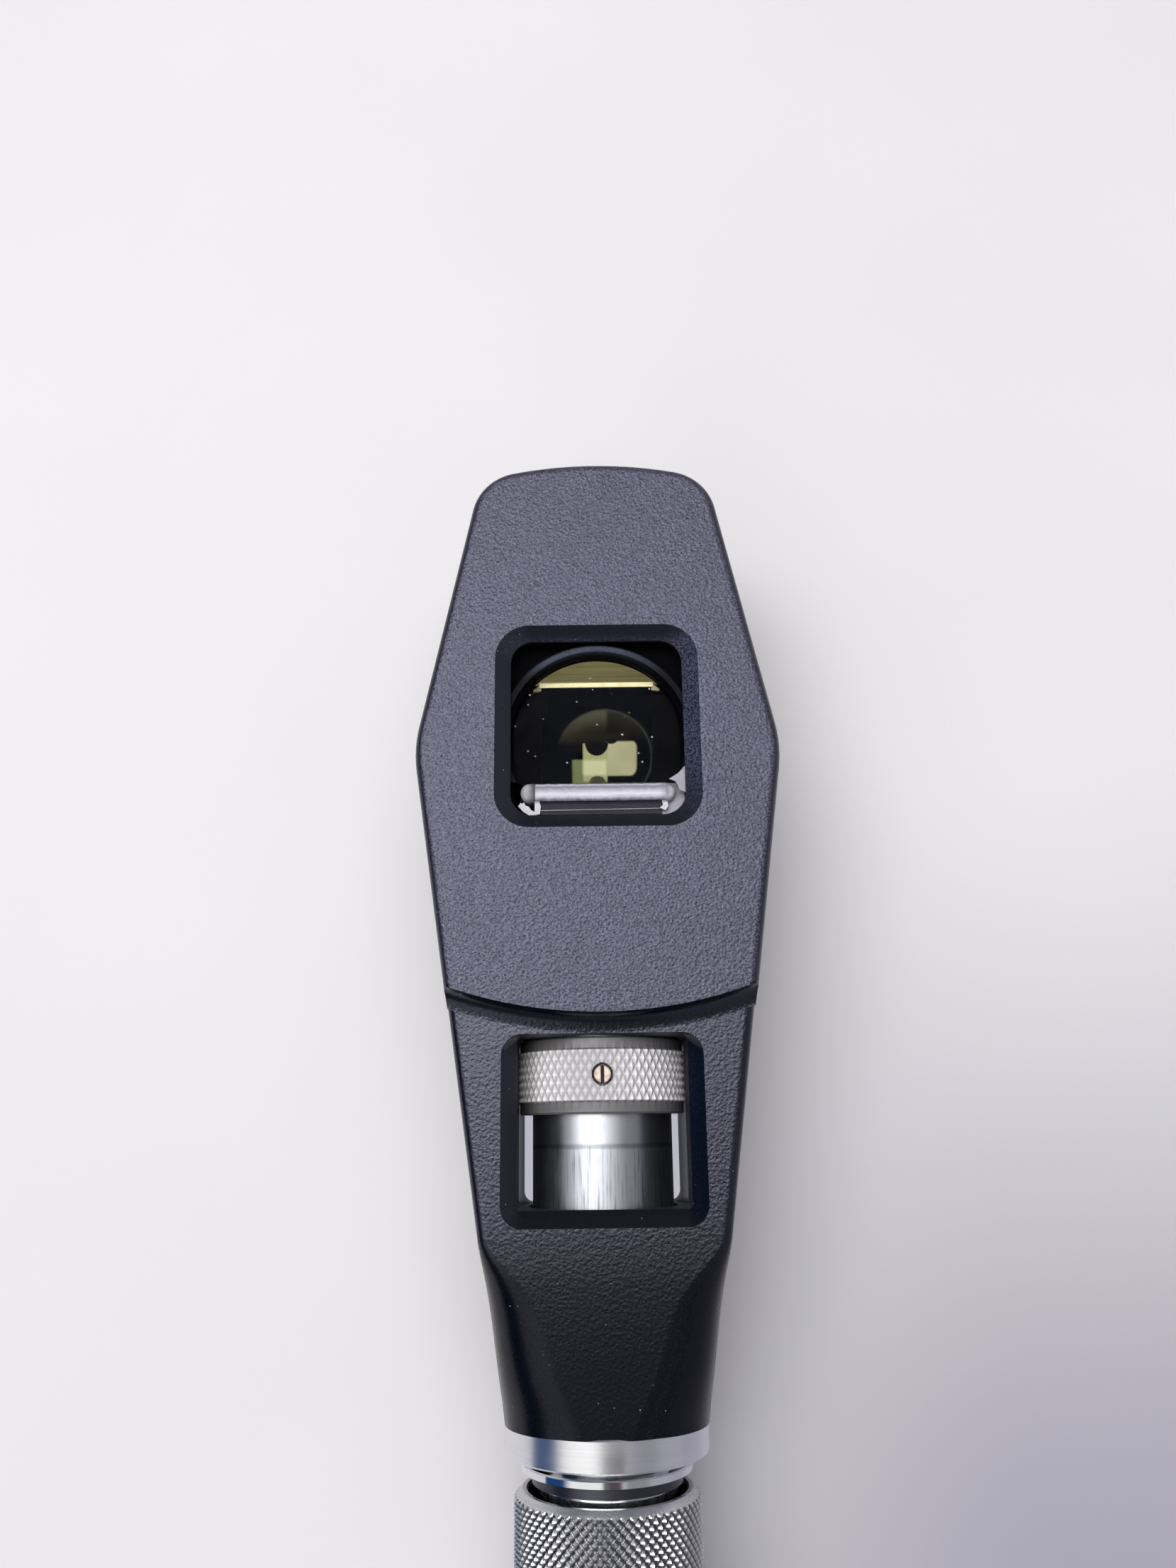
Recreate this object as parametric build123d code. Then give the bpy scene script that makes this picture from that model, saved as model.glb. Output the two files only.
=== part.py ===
# Streak retinoscope: a mirror head on a bayonet battery handle, lying on its back.
# Millimetres. Each piece is modelled around the instrument's long axis, which is the Y axis:
# X is across, Y runs along the axis from the base ring (0) towards the top of the head, and
# Z points from the axis towards the patient's side. place() then moves it onto the table.
from build123d import *

import os

os.makedirs("parts", exist_ok=True)

# Overall position
HEAD_TOP = 115.75
HANDLE_END = -150.0
AXIS_HEIGHT = 14.25
SHIFT_ALONG = -(HEAD_TOP + HANDLE_END) / 2

# Fits
RUN = 0.05
SLIP = 0.02

# Head envelope
BODY_HALF_DEPTH = 11.0
FACE_HALF_DEPTH = 13.0
EDGE_ROUND = 1.2
NECK_TOP = 23.0
NECK_HALF_WIDTH = 13.9
WIDEST_HALF_WIDTH = 21.97
WIDEST_AT = 78.05
SHOULDER_HALF_WIDTH = 14.46
SHOULDER_AT = 113.72
SHOULDER_ROUND = 6.5
WAIST_ROUND = 16.0
SIDE_SLOPE = (WIDEST_HALF_WIDTH - NECK_HALF_WIDTH) / (WIDEST_AT - NECK_TOP)
PARTING_RADIUS = 51.96
PARTING_CENTRE = 98.96
COVE_WIDTH = 2.45
COVE_RADIUS = 2.2

# Lower window and the sleeve in it
WINDOW_LOW = 25.6
WINDOW_HIGH = 44.3
WINDOW_HALF = 9.7
WINDOW_CLEAR_RADIUS = 10.4
WINDOW_CLEAR_TOP = 44.6
TUBE_RADIUS = 8.25
TUBE_BORE = 7.25
TUBE_LOW = 17.2
TUBE_HIGH = 56.0
SLEEVE_RADIUS = 10.0
SLEEVE_BAND_RADIUS = 9.75
SLEEVE_LOW = 35.8
SLEEVE_HIGH = 44.3
SLEEVE_BAND = 1.25
SCREW_AT = 40.1

# Neck of the head
BASE_RING_RADIUS = 11.4
BASE_RING_HEIGHT = 3.3
SOCKET_RADIUS = 9.6
SOCKET_LOW = 0.2
SOCKET_HIGH = 7.2
SPIGOT_RADIUS = 7.0
LUG_RADIUS = 8.3
LUG_LOW = 2.75
LUG_HIGH = 5.25
LUG_ANGLE = 40.0
LUG_COUNT = 3
UNLOCK_ANGLE = 60.0
BUSH_RADIUS = 8.8

# Upper chamber
OPTICAL_AXIS = 80.3
CHAMBER_FLOOR = 60.0
WALL_INSIDE = 11.0
BEZEL_APERTURE = 10.7
BEZEL_AT = 79.6
BEZEL_BACK = 8.7
BEZEL_PLATE = 9.2
BEZEL_FRONT = 10.7
GLASS_BACK = 7.9
SLAB_HALF_WIDTH = 9.3
SLAB_LOW = 71.65
SLAB_HIGH = 74.05
SLAB_FRONT = 10.6
SLAB_BACK = -4.0
MIRROR_HALF_WIDTH = 7.1
MIRROR_BOTTOM = -8.2
MIRROR_TOP = 10.5
MIRROR_THICKNESS = 1.0
TRAY_HALF_WIDTH = 11.0
COVER_SCREWS = ((-15.2, 65.0), (15.2, 65.0), (-10.0, 105.5), (10.0, 105.5))
HOUSING_SCREW_X = 13.6
PEEPHOLE_RADIUS = 4.5
BACK_REST_DEPTH = 14.25

# Handle
NECK_RADIUS = 7.9
FLANGE_RADIUS = 9.5
COLLAR_RADIUS = 10.4
COLLAR_RIM_RADIUS = 9.4
COLLAR_BORE = 8.95
COLLAR_TOP = -3.6
COLLAR_BOTTOM = -12.0
SHOULDER_TOP = -12.2
SHOULDER_RADIUS = 11.6
GRIP_RADIUS = 14.25
GRIP_BORE = 12.9
GRIP_TOP = -28.0
GRIP_BOTTOM = -138.0
CAP_RADIUS = 13.9
BUTTON_AT = -18.6
BUTTON_RADIUS = 2.5
CELL_RADIUS = 12.0
CELL_TOP = -38.0
CELL_BOTTOM = -126.0


# ---------------------------------------------------------------- helpers
def turned(points):
    """Solid of revolution about the long axis from (radius, along) points."""
    face = make_face(Polyline(*points, close=True))
    return revolve(face, Axis.Y, 360)


def ring(inner, outer, low, high):
    """Plain tube around the long axis."""
    return turned([(inner, low), (outer, low), (outer, high), (inner, high)])


def rod(radius, low, high, x=0.0, z=0.0):
    """Plain cylinder parallel to the long axis."""
    bar = Cylinder(radius, high - low)
    return Pos(x, (low + high) / 2, z) * Rot(90, 0, 0) * bar


def pin_z(radius, x, along, low, high):
    """Plain cylinder parallel to Z."""
    return Pos(x, along, (low + high) / 2) * Cylinder(radius, high - low)


def block(x_low, x_high, low, high, z_low, z_high):
    """Box from its limits across, along and in depth."""
    centre = Pos((x_low + x_high) / 2, (low + high) / 2, (z_low + z_high) / 2)
    return centre * Box(x_high - x_low, high - low, z_high - z_low)


def sector(inner, outer, low, high, middle, width):
    """Part of a ring, width degrees wide, its middle at an angle measured about the long axis."""
    face = make_face(Polyline((inner, low), (outer, low), (outer, high), (inner, high), close=True))
    return Rot(0, middle - width / 2, 0) * revolve(face, Axis.Y, width)


def mirrored_outline(points):
    """Face in the X, Y plane from the right-hand points, listed from the foot to the top."""
    left = [(-x, y) for x, y in reversed(points)]
    return make_face(Polyline(*points, *left, close=True))


def window_face(half, low, high, corner):
    """Rounded rectangle in the X, Y plane."""
    return Pos(0, (low + high) / 2) * RectangleRounded(2 * half, high - low, corner)


def bevelled_opening(outer, inner, z_outer, z_inner):
    """Tapered cut between two rounded rectangles at two depths."""
    faces = [Pos(0, 0, z_outer) * window_face(*outer), Pos(0, 0, z_inner) * window_face(*inner)]
    return loft(Sketch() + faces)


def coil(radius, wire, low, high, turns):
    """Round-wire compression spring along Y."""
    path = Helix(pitch=(high - low) / turns, height=high - low, radius=radius)
    section = Plane(origin=path @ 0, z_dir=path % 0) * Circle(wire)
    return Pos(0, low, 0) * Rot(-90, 0, 0) * sweep(section, path)


def mirror_plane():
    """Plane of the mirror: its normal points down and towards the patient."""
    return Plane(origin=(0, OPTICAL_AXIS, 0), x_dir=(1, 0, 0), z_dir=(0, -1, 1))


def side_half_width(along):
    """Half-width of the head below its widest point."""
    return NECK_HALF_WIDTH + SIDE_SLOPE * (along - NECK_TOP)


def place(shape):
    """Moves a piece from the axis to the table."""
    return Pos(0, SHIFT_ALONG, AXIS_HEIGHT) * shape


def save(name, shape):
    """Writes one piece as its own STEP file."""
    export_step(place(shape), f"parts/{name}.step")


# ---------------------------------------------------------------- head shell
def envelope():
    """Outside of the upper head, front and back edges rounded."""
    sides = Polyline(
        (SHOULDER_HALF_WIDTH, SHOULDER_AT),
        (WIDEST_HALF_WIDTH, WIDEST_AT),
        (NECK_HALF_WIDTH, NECK_TOP),
        (-NECK_HALF_WIDTH, NECK_TOP),
        (-WIDEST_HALF_WIDTH, WIDEST_AT),
        (-SHOULDER_HALF_WIDTH, SHOULDER_AT),
    )
    left = (-SHOULDER_HALF_WIDTH, SHOULDER_AT)
    top = ThreePointArc(left, (0, HEAD_TOP), (SHOULDER_HALF_WIDTH, SHOULDER_AT))
    face = make_face(Wire(sides.edges() + top.edges()))
    corners = [v for v in face.vertices() if v.Y > SHOULDER_AT - 1]
    face = fillet(corners, SHOULDER_ROUND)
    kinks = [v for v in face.vertices() if abs(v.Y - WIDEST_AT) < 0.5]
    face = fillet(kinks, WAIST_ROUND)
    solid = Pos(0, 0, -FACE_HALF_DEPTH) * extrude(face, amount=2 * FACE_HALF_DEPTH)
    rims = [e for e in solid.edges() if abs(abs(e.center().Z) - FACE_HALF_DEPTH) < 0.01]
    rims = [e for e in rims if e.center().Y > NECK_TOP + 1]
    return fillet(rims, EDGE_ROUND)


def parting_disc(grow=0.0):
    """Disc whose lower edge is the curved joint between yoke and housing."""
    return Pos(0, PARTING_CENTRE, 0) * Cylinder(PARTING_RADIUS + grow, 60)


def cove_cutter(side):
    """Hollow of the cove on the front (1) or back (-1)."""
    ring_radius = PARTING_RADIUS + COVE_WIDTH
    height = side * (BODY_HALF_DEPTH + COVE_RADIUS)
    return Pos(0, PARTING_CENTRE, height) * Torus(ring_radius, COVE_RADIUS)


def section(half_width, half_depth, corner, along):
    """Rounded rectangle across the long axis."""
    plane = Plane(origin=(0, along, 0), x_dir=(1, 0, 0), z_dir=(0, 1, 0))
    return plane * RectangleRounded(2 * half_width, 2 * half_depth, corner)


def neck_body():
    """Round neck that turns into the flat-faced lower frame."""
    neck = loft(
        Sketch()
        + [
            section(11.2, 11.2, 8.5, BASE_RING_HEIGHT),
            section(11.78, 11.15, 7.2, 8.0),
            section(12.42, 11.1, 6.2, 13.0),
            section(13.05, 11.05, 4.6, 17.5),
            section(13.67, BODY_HALF_DEPTH, 1.6, 21.5),
            section(NECK_HALF_WIDTH, BODY_HALF_DEPTH, EDGE_ROUND, NECK_TOP),
        ]
    )
    top = 52.0
    frame = loft(
        Sketch()
        + [
            section(NECK_HALF_WIDTH, BODY_HALF_DEPTH, EDGE_ROUND, NECK_TOP),
            section(side_half_width(top), BODY_HALF_DEPTH, EDGE_ROUND, top),
        ]
    )
    return neck + frame


def lower_window():
    """Through-window, bevelled on both faces and rounded inside to clear the sleeve."""
    front = (WINDOW_HALF, WINDOW_LOW, WINDOW_HIGH, 0.5)
    back = (WINDOW_HALF, WINDOW_LOW, WINDOW_HIGH, 1.2)
    outer = (11.4, 23.8, 44.55, 2.4)
    cut = extrude(window_face(*front), amount=12)
    cut += Pos(0, 0, -12) * extrude(window_face(*back), amount=12)
    cut += bevelled_opening(outer, front, BODY_HALF_DEPTH + 0.02, 9.4)
    cut += bevelled_opening(outer, back, -BODY_HALF_DEPTH - 0.02, -9.4)
    return cut + rod(WINDOW_CLEAR_RADIUS, WINDOW_LOW, WINDOW_CLEAR_TOP)


def yoke():
    """Neck and lower frame, with the cove under the upper face."""
    band = parting_disc(COVE_WIDTH) - parting_disc()
    flange = (envelope() & band) - cove_cutter(1) - cove_cutter(-1)
    solid = (neck_body() - parting_disc()) + flange
    solid -= lower_window()
    solid -= rod(SOCKET_RADIUS + SLIP, BASE_RING_HEIGHT - 1, SOCKET_HIGH)
    solid -= rod(BUSH_RADIUS, SOCKET_HIGH, WINDOW_LOW + 1)
    solid -= rod(TUBE_RADIUS + RUN, WINDOW_CLEAR_TOP - 1, 52)
    for side in (-1, 1):
        solid -= rod(1.22, 38.0, 52, side * HOUSING_SCREW_X)
    return solid


def chamber():
    """Hollow of the upper housing."""
    outline = mirrored_outline([(17.2, CHAMBER_FLOOR), (19.3, WIDEST_AT), (12.0, 110.8)])
    return Pos(0, 0, -WALL_INSIDE) * extrude(outline, amount=2 * WALL_INSIDE)


def cover_outline(gap):
    """Rear cover's edge, drawn in by a gap."""
    return mirrored_outline([(17.0 - gap, 56.0 + gap), (20.3 - gap, WIDEST_AT), (12.9 - gap, 111.8 - gap)])


def housing():
    """Upper shell around the mirror chamber, open at the back."""
    solid = (envelope() & parting_disc()) - chamber()
    solid -= Pos(0, 0, -14) * extrude(cover_outline(0.0), amount=14 - WALL_INSIDE)
    for x, along in COVER_SCREWS:
        solid += pin_z(2.4, x, along, -WALL_INSIDE, WALL_INSIDE + 0.5)
        solid -= pin_z(1.02, x, along, -14, -4)
    outer = (12.3, 68.0, 93.4, 4.2)
    inner = (10.45, 69.8, 91.9, 2.8)
    solid -= bevelled_opening(outer, inner, FACE_HALF_DEPTH + 0.02, 11.4)
    solid -= Pos(0, 0, 8) * extrude(window_face(*inner), amount=3.5)
    solid -= rod(TUBE_RADIUS + RUN, 44, CHAMBER_FLOOR + 1)
    for side in (-1, 1):
        solid -= rod(1.25, 44, 56, side * HOUSING_SCREW_X)
        solid -= rod(2.4, 55, CHAMBER_FLOOR + 1, side * HOUSING_SCREW_X)
    return solid


def rear_cover():
    """Plate that closes the back, with a boss for the peephole glass."""
    solid = Pos(0, 0, -FACE_HALF_DEPTH) * extrude(cover_outline(0.08), amount=2.0)
    solid += pin_z(8.0, 0, OPTICAL_AXIS, -WALL_INSIDE - 0.5, -9.0)
    solid -= pin_z(6.02, 0, OPTICAL_AXIS, -11.2, -8)
    solid -= pin_z(PEEPHOLE_RADIUS, 0, OPTICAL_AXIS, -14, -10)
    for x, along in COVER_SCREWS:
        solid -= pin_z(1.15, x, along, -14, -10)
        solid -= Pos(x, along, -12.3) * Rot(180, 0, 0) * Cone(1.15, 2.4, 1.42)
    return solid


def cover_screw(x, along):
    """Countersunk screw with a cross slot, its head in the rear cover."""
    head = Pos(x, along, -12.3) * Rot(180, 0, 0) * Cone(1.0, 2.2, 1.2)
    solid = head + pin_z(1.0, x, along, -12.0, -4.5)
    solid -= block(x - 1.4, x + 1.4, along - 0.22, along + 0.22, -13.5, -12.4)
    return solid - block(x - 0.22, x + 0.22, along - 1.4, along + 1.4, -13.5, -12.4)


def brow_rest():
    """Soft pad round the peephole, which the examiner rests against the brow."""
    pad = Pos(0, OPTICAL_AXIS) * RectangleRounded(26, 32, 7)
    solid = Pos(0, 0, -BACK_REST_DEPTH) * extrude(pad, amount=BACK_REST_DEPTH - FACE_HALF_DEPTH)
    solid -= pin_z(7.0, 0, OPTICAL_AXIS, -15, -12)
    rim = [e for e in solid.edges() if abs(e.center().Z + BACK_REST_DEPTH) < 0.01]
    return fillet(rim, 0.5)


def housing_screws():
    """Two long screws that hold the housing down on the yoke."""
    solid = Part()
    for side in (-1, 1):
        x = side * HOUSING_SCREW_X
        screw = rod(1.2, 38.3, 55.0, x) + rod(2.25, 55.0, 57.4, x)
        solid += screw - block(x - 2.5, x + 2.5, 56.6, 58, -0.3, 0.3)
    return solid


# ---------------------------------------------------------------- neck of the head
def base_ring():
    """Bright ring that ends the head."""
    r = BASE_RING_RADIUS
    inner = SOCKET_RADIUS + SLIP
    top = BASE_RING_HEIGHT
    return turned([(inner, 0), (r - 0.2, 0), (r, 0.2), (r, top - 0.15), (r - 0.15, top), (inner, top)])


def bayonet_socket():
    """Socket with entry slots, a groove that the lugs turn in, and stops."""
    mouth = SPIGOT_RADIUS + RUN
    reach = LUG_RADIUS + RUN
    solid = ring(mouth, SOCKET_RADIUS, SOCKET_LOW, SOCKET_HIGH - SLIP)
    for i in range(LUG_COUNT):
        start = i * 360 / LUG_COUNT
        middle = start + UNLOCK_ANGLE / 2
        width = UNLOCK_ANGLE + LUG_ANGLE + 2
        solid -= sector(mouth - 1, reach, LUG_LOW - 0.15, LUG_HIGH + 0.15, middle, width)
        solid -= sector(mouth - 1, reach, -1, LUG_HIGH, start + UNLOCK_ANGLE, LUG_ANGLE + 2)
    return solid


def bearing_bush():
    """Brass bush that guides the sleeve tube and holds the lamp carrier's flange."""
    inner = TUBE_RADIUS + RUN
    outer = BUSH_RADIUS - SLIP
    outside = [(inner, 7.25), (outer, 7.25), (outer, 24.9), (inner, 24.9)]
    lip = [(inner, 9.95), (7.6, 9.95), (7.6, 9.1), (inner, 9.1)]
    return turned(outside + lip)


# ---------------------------------------------------------------- optics
def slab_notch():
    """Room that the bezel and the glass leave for the filter slab."""
    return block(-20, 20, CHAMBER_FLOOR, SLAB_HIGH + 0.1, GLASS_BACK - 1, WALL_INSIDE + 1)


def window_bezel():
    """Black plate behind the window with a raised round lip."""
    a = BEZEL_APERTURE
    plate = Pos(0, 0, BEZEL_BACK) * extrude(window_face(12.6, 67.9, 93.6, 3.0), amount=BEZEL_PLATE - BEZEL_BACK)
    lip = Polyline(
        (a, BEZEL_BACK),
        (12.2, BEZEL_BACK),
        (12.2, BEZEL_FRONT - 0.4),
        (11.9, BEZEL_FRONT),
        (11.2, BEZEL_FRONT),
        (a, BEZEL_FRONT - 1.2),
        close=True,
    )
    solid = plate - pin_z(a, 0, BEZEL_AT, BEZEL_BACK - 1, BEZEL_FRONT)
    solid += Pos(0, BEZEL_AT, 0) * revolve(Plane.XZ * make_face(lip), Axis.Z, 360)
    return solid - slab_notch()


def window_glass():
    """Flat dust glass behind the bezel."""
    return pin_z(11.8, 0, BEZEL_AT, GLASS_BACK, BEZEL_BACK - SLIP) - slab_notch()


def mirror_slab(half_width, bottom, top, low, high):
    """Box on the mirror's plane: across, up the slope, and through its thickness."""
    middle = Pos(0, (bottom + top) / 2, (low + high) / 2)
    return mirror_plane() * middle * Box(2 * half_width, top - bottom, high - low)


def mirror_plate():
    """Half-silvered plate at 45 degrees."""
    half = MIRROR_THICKNESS / 2
    return mirror_slab(MIRROR_HALF_WIDTH, MIRROR_BOTTOM, MIRROR_TOP, -half, half)


def mirror_frame():
    """Open-topped tray under the mirror plate, on two legs."""
    half = TRAY_HALF_WIDTH
    solid = mirror_slab(half, MIRROR_BOTTOM - 1.2, MIRROR_TOP - 1.0, -1.95, 0.45)
    solid -= mirror_slab(MIRROR_HALF_WIDTH + 0.05, MIRROR_BOTTOM - 0.05, 30, -0.52, 10)
    solid -= mirror_slab(MIRROR_HALF_WIDTH - 0.8, MIRROR_BOTTOM + 0.8, 30, -10, 10)
    for side in (-1, 1):
        x_low, x_high = sorted((side * half, side * (half + 1.6)))
        solid += block(x_low, x_high, CHAMBER_FLOOR, OPTICAL_AXIS + 2, -2.5, 2.5)
        x_low, x_high = sorted((side * half, side * (half + 4.2)))
        solid += block(x_low, x_high, CHAMBER_FLOOR, CHAMBER_FLOOR + 1.4, -2.5, 2.5)
    return solid


def mirror_clips():
    """Two leaf clips that hold the mirror plate in its tray."""
    solid = Part()
    for side in (-1, 1):
        solid += Pos(side * 7.5, 0, 0) * mirror_slab(1.2, MIRROR_TOP - 3.5, MIRROR_TOP - 1.2, 0.52, 0.85)
    return solid


def top_baffle():
    """Shelf over the mirror that closes the chamber above the beam."""
    return block(-13, 13, 91.4, 92.4, -8.5, 7.6)


def light_baffle():
    """Black tube that carries the beam up from the sleeve."""
    return ring(9.0, 9.8, CHAMBER_FLOOR, SLAB_LOW - 1.15) - block(-11, 11, 65.5, 73.0, 7.6, 12.0)


def filter_shelf():
    """Shelf that carries the filter slab, with a round hole for the beam."""
    return block(-10.8, 10.8, SLAB_LOW - 1.1, SLAB_LOW - SLIP, -8.0, 2.3) - rod(6.0, 70, 74)


def filter_slab():
    """Clear polarising slab across the beam, with rounded ends."""
    thickness = SLAB_HIGH - SLAB_LOW
    face = Pos(0, (SLAB_LOW + SLAB_HIGH) / 2) * SlotOverall(2 * SLAB_HALF_WIDTH, thickness)
    solid = Pos(0, 0, SLAB_BACK) * extrude(face, amount=SLAB_FRONT - SLAB_BACK)
    front = [e for e in solid.edges() if e.center().Z > SLAB_FRONT - 0.01]
    return fillet(front, 0.45)


def peephole_glass():
    """Flat glass in the rear cover."""
    return pin_z(6.0, 0, OPTICAL_AXIS, -11.2, -10.2)


def peephole_ring():
    """Ring that keeps the peephole glass in its boss."""
    return pin_z(6.0, 0, OPTICAL_AXIS, -10.2, -9.2) - pin_z(4.6, 0, OPTICAL_AXIS, -11, -9)


# ---------------------------------------------------------------- lamp rotor
def lamp_carrier():
    """Barrel that turns with the sleeve and holds the lamp."""
    points = [
        (6.6, 7.35),
        (TUBE_RADIUS, 7.35),
        (TUBE_RADIUS, 7.72),
        (7.42, 7.72),
        (7.42, 8.58),
        (TUBE_RADIUS, 8.58),
        (TUBE_RADIUS, 8.95),
        (TUBE_BORE - 0.1, 8.95),
        (TUBE_BORE - 0.1, 27.0),
        (5.6, 27.0),
        (5.6, 19.0),
        (4.5, 19.0),
        (4.5, 10.4),
        (5.6, 10.4),
        (5.6, 8.6),
        (6.6, 8.6),
    ]
    return turned(points) - block(-1.1, 1.1, 9.6, 28, -8, -4)


def drag_ring():
    """Rubber ring in the carrier's flange that steadies the turn."""
    return Pos(0, 8.15, 0) * Rot(90, 0, 0) * Torus(7.83, 0.4)


def lamp_retainer():
    """Ring that holds the lamp up in the carrier."""
    return ring(3.4, 6.58, 7.4, 8.58)


def lamp_base():
    """Metal can of the lamp, with its locating collar."""
    return turned([(0, 9.2), (5.5, 9.2), (5.5, 10.2), (4.4, 10.2), (4.4, 19.0), (0, 19.0)])


def lamp_insulator():
    """Cream insulator under the lamp's can."""
    return rod(3.2, 8.0, 9.2)


def lamp_contact():
    """Domed solder contact."""
    return turned([(0, 7.2), (0.9, 7.25), (1.5, 7.6), (1.6, 8.0), (0, 8.0)])


def lamp_block():
    """Cream blocks that clamp the bulb's foot, half-round notches facing it."""
    solid = block(-3.9, 3.9, 19.0, 21.8, -3.3, 3.3) & rod(5.2, 18, 22)
    solid -= rod(2.95, 18, 23)
    solid -= block(-0.5, 0.5, 18, 23, -6, 6)
    return solid


def filament_posts():
    """Two stiff lead wires."""
    return rod(0.2, 19.0, 25.0, -1.5) + rod(0.2, 19.0, 25.0, 1.5)


def lamp_filament():
    """Straight filament across the posts, whose image is the streak."""
    return Pos(0, 25.15, 0) * Rot(0, 90, 0) * Cylinder(0.14, 3.4)


def lamp_bulb():
    """Hollow glass envelope."""
    outer = turned([(0, 19.0), (2.9, 19.0), (2.9, 25.5), (2.3, 26.9), (1.2, 27.6), (0, 27.8)])
    inner = turned([(0, 18.5), (2.5, 18.5), (2.5, 25.4), (2.0, 26.6), (1.0, 27.2), (0, 27.35)])
    return outer - inner


# ---------------------------------------------------------------- focusing sleeve
def guide_key():
    """Key that turns the lamp with the sleeve and lets the sleeve slide."""
    return block(-1.0, 1.0, 18.2, 21.2, -7.15, -6.0)


def sleeve_tube():
    """Polished tube that slides and turns in the head."""
    return ring(TUBE_BORE, TUBE_RADIUS, TUBE_LOW, TUBE_HIGH)


def sleeve_ring():
    """Finger ring on the sleeve tube."""
    bore = TUBE_RADIUS + SLIP
    low = SLEEVE_LOW + SLEEVE_BAND
    high = SLEEVE_HIGH - SLEEVE_BAND
    band = SLEEVE_BAND_RADIUS
    full = SLEEVE_RADIUS
    points = [
        (bore, SLEEVE_LOW),
        (band - 0.2, SLEEVE_LOW),
        (band, SLEEVE_LOW + 0.2),
        (band, low),
        (full, low + 0.1),
        (full, high - 0.1),
        (band, high),
        (band, SLEEVE_HIGH - 0.2),
        (band - 0.2, SLEEVE_HIGH),
        (bore, SLEEVE_HIGH),
    ]
    return turned(points) - pin_z(1.15, 0, SCREW_AT, -12, 12)


def set_screw(side):
    """Slotted set screw on the front (1) or back (-1) of the sleeve ring."""
    low, high = sorted((side * (TUBE_RADIUS + 0.1), side * (SLEEVE_BAND_RADIUS - 0.1)))
    slot = block(-0.14, 0.14, SCREW_AT - 1.5, SCREW_AT + 1.5, side * 9.1 - 0.55, side * 9.1 + 0.55)
    return pin_z(1.0, 0, SCREW_AT, low, high) - Pos(0, 0, side * 0.5) * slot


def biconvex(half_edge, bulge, rim, clear, middle):
    """Lens about the long axis: a flat rim and two domes."""
    ball = (clear**2 + bulge**2) / (2 * bulge)
    solid = rod(rim, middle - half_edge, middle + half_edge)
    for side in (-1, 1):
        centre = middle + side * (half_edge + bulge - ball)
        low, high = sorted((middle, middle + side * (half_edge + bulge + 1)))
        solid += Pos(0, centre, 0) * Sphere(ball) & rod(clear, low, high)
    return solid


def condenser_lens():
    """Lens that focuses the streak, carried by the sleeve tube."""
    return biconvex(0.8, 1.4, 7.23, 6.45, 52.4)


def lens_retainers():
    """Rings below and above the condenser lens."""
    return ring(6.5, 7.23, 50.4, 51.6) + ring(6.5, 7.23, 53.2, 54.4)


# ---------------------------------------------------------------- handle
def handle_neck():
    """Chrome neck with the bayonet lugs and a through bore."""
    bore = 4.2
    points = [
        (bore, -20.0),
        (NECK_RADIUS, -20.0),
        (NECK_RADIUS, -1.7),
        (FLANGE_RADIUS, -1.7),
        (FLANGE_RADIUS, -1.05),
        (FLANGE_RADIUS - 0.15, -0.9),
        (SPIGOT_RADIUS, -0.9),
        (SPIGOT_RADIUS, 6.3),
        (SPIGOT_RADIUS - 0.3, 6.6),
        (bore, 6.6),
    ]
    solid = turned(points)
    for i in range(LUG_COUNT):
        solid += sector(SPIGOT_RADIUS - 0.5, LUG_RADIUS, LUG_LOW, LUG_HIGH, i * 360 / LUG_COUNT, LUG_ANGLE)
    return solid


def neck_washer():
    """Grey washer under the flange."""
    return ring(NECK_RADIUS + SLIP, 8.35, -3.0, -1.72)


def neck_insulator():
    """Bush that keeps the centre contact off the neck."""
    return turned([(2.75, -8.0), (4.18, -8.0), (4.18, 5.8), (1.65, 5.8), (1.65, 3.4), (2.75, 3.4)])


def neck_terminal():
    """Disc that the contact spring stands on."""
    return rod(2.73, -8.0, -7.2)


def plunger_spring():
    """Spring under the centre contact."""
    return coil(2.1, 0.22, -6.9, 1.9, 7)


def contact_plunger():
    """Sprung centre contact that presses on the lamp."""
    return turned([(0, 2.25), (2.7, 2.25), (2.7, 3.35), (1.6, 3.35), (1.6, 6.6), (1.0, 7.05), (0, 7.05)])


def rheostat_track():
    """Resistive track round the neck, inside the collar."""
    return sector(NECK_RADIUS + SLIP, 8.3, -8.8, -6.2, 180, 290)


def collar_clip():
    """Clip that keeps the collar on the neck."""
    return sector(NECK_RADIUS + SLIP, 8.5, -9.5, -9.05, 0, 320)


def rheostat_collar():
    """Collar that switches the lamp on and dims it."""
    rim = COLLAR_RIM_RADIUS
    full = COLLAR_RADIUS
    guide = NECK_RADIUS + RUN
    points = [
        (COLLAR_BORE, COLLAR_TOP),
        (rim, COLLAR_TOP),
        (full, -4.5),
        (full, -10.9),
        (10.1, -11.6),
        (9.5, COLLAR_BOTTOM),
        (guide, COLLAR_BOTTOM),
        (guide, -9.6),
        (COLLAR_BORE, -9.6),
    ]
    return turned(points)


def wiper():
    """Contact leaf on the inside of the collar."""
    return sector(8.38, COLLAR_BORE - 0.01, -8.0, -7.0, 180, 24)


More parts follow.
